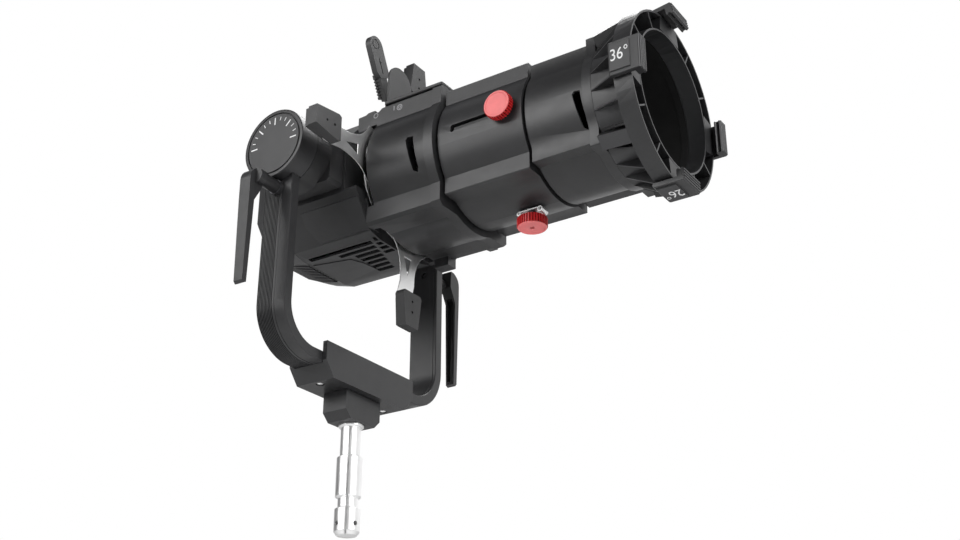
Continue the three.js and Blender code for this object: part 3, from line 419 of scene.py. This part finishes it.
def lettering(name, text, height, place, right, up, body, narrowing=0.78):
    """Raised white figures on a plate, a little narrower than the typeface."""
    curve = bpy.data.curves.new(name, "FONT")
    curve.body = text
    curve.size = height
    curve.align_x = "CENTER"
    curve.align_y = "CENTER"
    curve.extrude = 0.00012
    writer = bpy.data.objects.new(f"{name}_writer", curve)
    scene.collection.objects.link(writer)
    graph = bpy.context.evaluated_depsgraph_get()
    mesh = bpy.data.meshes.new_from_object(writer.evaluated_get(graph))
    bpy.data.objects.remove(writer)
    right, up = Vector(right) * narrowing, Vector(up)
    turn = Matrix((right, up, right.cross(up))).transposed().to_4x4()
    mesh.transform(Matrix.Translation(Vector(place)) @ turn)
    return new_piece(name, mesh, body, WHITE_PRINT)


# ---------------------------------------------------------------- yoke band with its ribbed outer face
RIB_COUNT = 11
RIB_PITCH = 2.0
RIB_DEPTH = 0.9
BAND_THICKNESS = 12.5
BAND_BEND = 54.0  # outer radius of the two bends
BEND_STEPS = 28
SHAFT_BORE = 10.5
BOLT_BORE = 4.4
CLAMP_BORE = 4.3
CLAMP_Y = 24  # the two clamp screws stand this far from the middle


def yoke_band():
    """A ribbed section swept along the U, its arm tops rounded and its holes cut."""
    half = BAND_HIGH.x / MM
    arm = BAND_HIGH.y / MM
    thickness, bend = BAND_THICKNESS, BAND_BEND
    bottom = BAND_LOW.z / MM
    top = BAND_HIGH.z / MM
    section = []
    for rib in range(RIB_COUNT):
        x = -half + 1 + rib * RIB_PITCH
        section += [(x, 0), (x + 0.4, RIB_DEPTH), (x + 0.9, RIB_DEPTH), (x + 1.3, 0)]
    section += [(5.0, 0), (5.3, 0.5), (6.1, 0.5), (6.4, 0), (half - 0.8, 0), (half, 0.8)]
    section += [(half, thickness - 0.8), (half - 0.8, thickness), (half - 3.4, thickness)]
    section += [(half - 3.7, thickness - 0.6), (half - 4.4, thickness - 0.6), (half - 4.7, thickness)]
    section += [(-half + 0.8, thickness), (-half, thickness - 0.8), (-half, 0.8), (-half + 0.8, 0)]
    spine = [((-arm, top), (-1, 0))]
    for centre, start in ((-arm + bend, math.pi), (arm - bend, 1.5 * math.pi)):
        for i in range(BEND_STEPS + 1):
            angle = start + (math.pi / 2) * i / BEND_STEPS
            normal = (math.cos(angle), math.sin(angle))
            spine.append(((centre + bend * normal[0], bottom + bend + bend * normal[1]), normal))
    spine.append(((arm, top), (1, 0)))
    corners = [
        Vector((x, y - ny * depth, z - nz * depth)) * MM
        for (y, z), (ny, nz) in spine
        for x, depth in section
    ]
    count = len(section)
    faces = []
    for s in range(len(spine) - 1):
        for i in range(count):
            j = (i + 1) % count
            faces.append((s * count + i, s * count + j, (s + 1) * count + j, (s + 1) * count + i))
    last = (len(spine) - 1) * count
    faces += [tuple(range(count)), tuple(range(last, last + count))]
    band = mesh_of("yoke_band_sweep", corners, faces)
    hub = HUB_Z / MM
    round_top = [*half_circle(half, hub, 40), (-half, 0), (half, 0)]
    band = carve(band, [prism("arm_caps", "y", round_top, -arm - 1, arm + 1)], "INTERSECT")
    holes = [
        rod("shaft_hole", "y", SHAFT_BORE, -arm - 1, arm + 1, 0, hub, 48),
        rod("bolt_hole", "y", BOLT_BORE, -arm - 1, arm + 1, 0, BOLT_Z / MM, 32),
        rod("screw_hole_near", "z", CLAMP_BORE, bottom - 5, bottom + 20, 0, -CLAMP_Y, 24),
        rod("screw_hole_far", "z", CLAMP_BORE, bottom - 5, bottom + 20, 0, CLAMP_Y, 24),
    ]
    new_piece("yoke_band_look", carve(band, holes), "mount", PAINT, ("yoke_band",), sharp=20)


# ---------------------------------------------------------------- hub covers, pin and small steel
TICK_END = 33.0  # radius where the strokes of the tilt scale end
TICK_PITCH = 15  # degrees
PIN_RADIUS, NECK_RADIUS = 14.3, 11.2
KEY_AZIMUTH = -57  # degrees; the side of the pin with the key groove
FLANGE_SCREW_Y = 56.5


def hub_cover(side):
    """The round cap with a groove near its rim, a channel for the yoke's arm and a plain tilt scale."""
    name = "near" if side < 0 else "far"
    node = f"hub_cover_{name}"
    face, inner = sorted((corner.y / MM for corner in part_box(node)), key=abs, reverse=True)
    r = HUB_RADIUS / MM
    profile = [
        (SHAFT_BORE, face - side * 6), (0.0, face - side * 6), (0.0, face),
        (r - 6.3, face), (r - 5.9, face - side * 0.4), (r - 5.7, face - side * 1.4),
        (r - 4.7, face - side * 1.4), (r - 4.5, face - side * 0.4), (r - 4.1, face),
        (r - 1.2, face), (r - 0.4, face - side * 0.4), (r, face - side * 1.2),
        (r, inner), (SHAFT_BORE, inner),
    ]
    disc = lathe(f"hub_{name}", "y", (0, 0, HUB_Z), profile, sides=144)
    room, hub = BAND_HIGH.x / MM + GAP, HUB_Z / MM
    seat = (BAND_HIGH.y / MM + GAP) * side
    low, high = sorted((seat, inner - side))
    outline = [*half_circle(room, hub, 32), (-room, hub - 60), (room, hub - 60)]
    mesh = carve(disc, [prism("arm_channel", "y", outline, low, high)])
    new_piece(f"{node}_look", mesh, "mount", PAINT, (node,), sharp=40)
    for step in range(-6, 7):
        start, width = (24.0, 1.5) if step % 3 == 0 else (28.5, 0.9)
        tick = [(-width / 2, start), (width / 2, start), (width / 2, TICK_END), (-width / 2, TICK_END)]
        angle = math.radians(step * TICK_PITCH)
        cosine, sine = math.cos(angle), math.sin(angle)
        turned = [(u * cosine + v * sine, v * cosine - u * sine + hub) for u, v in tick]
        low, high = sorted((face - side * 0.05, face + side * 0.08))
        mark = prism(f"tilt_tick_{name}", "y", turned, low, high)
        new_piece(f"tilt_tick_{name}_{step + 6}", mark, "mount", WHITE_PRINT)


def stand_pin():
    """The polished pin, with its necks, its key groove and its cross holes."""
    wide, neck = PIN_RADIUS, NECK_RADIUS
    key_angle = math.radians(KEY_AZIMUTH)
    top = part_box("stand_pin")[1].z / MM
    block_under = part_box("pin_block")[0].z / MM
    profile = [
        (0, 0), (10.6, 0), (11.4, 0.3), (wide - 0.3, 3.8), (wide, 4.4), (wide, 28.6), (wide - 0.5, 29.3),
        (neck, 31), (neck, 40.5), (wide - 0.5, 42.2), (wide, 42.9), (wide, 86.2), (wide - 0.5, 86.9),
        (neck, 88.6), (neck, 121), (wide - 0.4, 121.9), (wide, 122.4), (wide, block_under - 0.3),
        (9, block_under - 0.3), (9, top), (0, top),
    ]
    pin = lathe("pin_turned", "z", (0, 0, 0), profile, sides=96, closed=False)
    groove = block("key_groove", (9.3, -1.1, -1), (16, 1.1, 120.5))
    groove.transform(Matrix.Rotation(key_angle, 4, "Z"))
    holes = []
    for turn in (math.pi / 4, -math.pi / 4):
        hole = rod("cross_hole", "x", 2.6, -16, 16, 0, 12, 24)
        hole.transform(Matrix.Rotation(key_angle + turn, 4, "Z"))
        holes.append(hole)
    mesh = carve(pin, [groove, *holes])
    new_piece("stand_pin_look", mesh, "mount", STEEL, ("stand_pin",), 0.0002, 2)


def flange_screws():
    """Bright button screws in the bracket's two flange holes."""
    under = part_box("yoke_bracket")[0].z / MM
    for name, y in (("near", -FLANGE_SCREW_Y), ("far", FLANGE_SCREW_Y)):
        profile = [(0, 0.2), (2.2, 0.3), (3.6, 0.9), (4.3, 2.0), (4.3, 4.0), (0, 4.0)]
        mesh = lathe(f"screw_{name}", "z", (0, y * MM, under * MM), profile, 40, closed=False)
        new_piece(f"flange_screw_{name}", mesh, "mount", STEEL)


def lever_bolts():
    """A thin bright washer under the head of each lock lever."""
    for name, side in (("near", -1), ("far", 1)):
        arm = (BAND_HIGH.y / MM + GAP) * side
        profile = [(7.9, arm + side * 3.9), (8.5, arm + side * 3.9), (8.7, arm + side * 4.1),
                   (8.7, arm + side * 5.1), (8.5, arm + side * 5.3), (7.9, arm + side * 5.3)]
        mesh = lathe(f"washer_{name}", "y", (0, 0, BOLT_Z), profile, 64)
        new_piece(f"lever_washer_{name}", mesh, f"lock_{name}", DARK_STEEL)


# ---------------------------------------------------------------- red knobs
KNOB_RIBS = 34
RIB_GROOVE = 1.9
DISH = 0.5  # how far the face lies below its rim


def red_knob(node, axis, thickness, radius, stem, socket=0.0):
    """A ribbed grip in a darker red as painted shade, whose pale dished face looks down its axis, and a
    stem behind it.

    Places grow from the face towards the stem, in millimetres.
    """
    body = BODY_OF[node]
    along = "xyz".index(axis)
    face, stem_end = (corner[along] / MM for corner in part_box(node))
    root = face + thickness
    lip = root - 1.2

    def ripple(step):
        return RIB_GROOVE if step % 4 in (2, 3) else 0.0

    ribs = [
        (radius - 2.2, root), (radius - 0.4, lip, 1), (radius, lip - 0.5, 1),
        (radius, face + 1.6, 1), (radius - 0.5, face + 1.0, 1),
        (radius - 1.3, face + 0.8), (6, face + 0.8), (6, root),
    ]
    place = mid(node)
    place[along] = 0
    grip = lathe(f"{node}_ribs", axis, place, ribs, KNOB_RIBS * 4, ripple)
    # The ribbed sides take the darker copy of the red: painted shade.
    new_piece(f"{node}_look", grip, body, RED_SHADED_SIDES, (node,), sharp=24)
    dished = face + DISH
    hub = [(socket, face + 3.5), (socket, dished), (radius - 3.6, dished),
           (radius - 2.8, face), (radius - 1.5, face), (radius - 0.9, face + 0.5),
           (radius - 0.9, face + 1.2), (6.5, face + 1.4), (6.5, face + 3.5)]
    cap = lathe(f"{node}_cap", axis, place, hub, 96, closed=True)
    new_piece(f"{node}_face", cap, body, RED, sharp=24)
    stem_start = root - 0.5
    sides = [(0, stem_start), (stem, stem_start), (stem, stem_end), (0, stem_end)]
    shaft = lathe(f"{node}_shaft", axis, place, sides, 32, closed=False)
    new_piece(f"{node}_stem", shaft, body, DARK_STEEL, bevel=0.0002)


# ---------------------------------------------------------------- marks
FIGURE_SIZE = 0.0195
PLATE_X = 0.4085  # middle of the number plates
PRINT_PROUD = 0.00008
RAIL_FACE = -66.1  # outer face of the near top rail
MARK_Z = 471.6


def number_plates():
    """Generic figures for the angle of the beam on the two plates of the accessory ring."""
    near, bottom = "frame_clip_near", "frame_clip_bottom"
    side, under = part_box(near)[0].y - PRINT_PROUD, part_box(bottom)[0].z - PRINT_PROUD
    lettering("angle_figures_near", "36\u00b0", FIGURE_SIZE, (PLATE_X, side, AXIS_Z + 0.0015),
              (1, 0, 0), (0, 0, 1), BODY_OF[near])
    lettering("angle_figures_bottom", "26\u00b0", FIGURE_SIZE, (PLATE_X, 0.001, under),
              (-1, 0, 0), (0, 1, 0), BODY_OF[bottom])


def rail_marks():
    """A bar and circles on the near top rail, beside the slots they stand for."""
    front, back = RAIL_FACE - 0.05, RAIL_FACE + 0.2
    bar = prism("mark_bar", "y", [(96.6, 470.0), (97.8, 470.0), (97.8, 476.0), (96.6, 476.0)], front, back)
    new_piece("rail_mark_bar", bar, "head", GREY_PRINT)
    for x, outer, inner in ((105.2, 3.9, 2.9), (105.2, 2.0, 1.2), (70.9, 3.4, 2.4)):
        profile = [(inner, front), (outer, front), (outer, back), (inner, back)]
        ring = lathe("mark_ring", "y", (x * MM, 0, MARK_Z * MM), profile, 48)
        new_piece(f"rail_mark_ring_{int(x)}_{int(outer * 10)}", ring, "head", GREY_PRINT)


yoke_band()
hub_cover(-1)
hub_cover(1)
stand_pin()
flange_screws()
lever_bolts()
red_knob("focus_knob", "y", thickness=10.5, radius=16.4, stem=1.8)
red_knob("lock_knob", "z", thickness=12.5, radius=17.0, stem=4.0, socket=2.6)
number_plates()
rail_marks()

# ---------------------------------------------------------------- every other CAD node, refined
FINISHES = {
    "black_casting": PAINT,
    "black_plastic": PLASTIC,
    "matte_black": FLAT_BLACK,
    "steel": STEEL,
    "dark_steel": DARK_STEEL,
    "bare_aluminium": ALUMINIUM,
    "red_plastic": RED,
    "glass": GLASS_WITH_PAINTED_REFLECTION,
    "circuit_board": BOARD,
    "phosphor": PHOSPHOR,
    "display": DISPLAY,
}
MADE_ABOVE = {"yoke_band", "hub_cover_near", "hub_cover_far", "stand_pin", "focus_knob", "lock_knob"}
SPECIAL = {f"shutter_blade_{side}": BLADE_STEEL for side in ("top", "bottom", "near", "far")}
RINGS = {"accessory_ring"}  # a flat ring face must keep its own edges

for entry in frame["record"]["subparts"]:
    node, slot = entry["node"], entry["material_slot"]
    if node in MADE_ABOVE:
        continue
    refined(node, SPECIAL.get(node, FINISHES[slot]), merge=node not in RINGS)
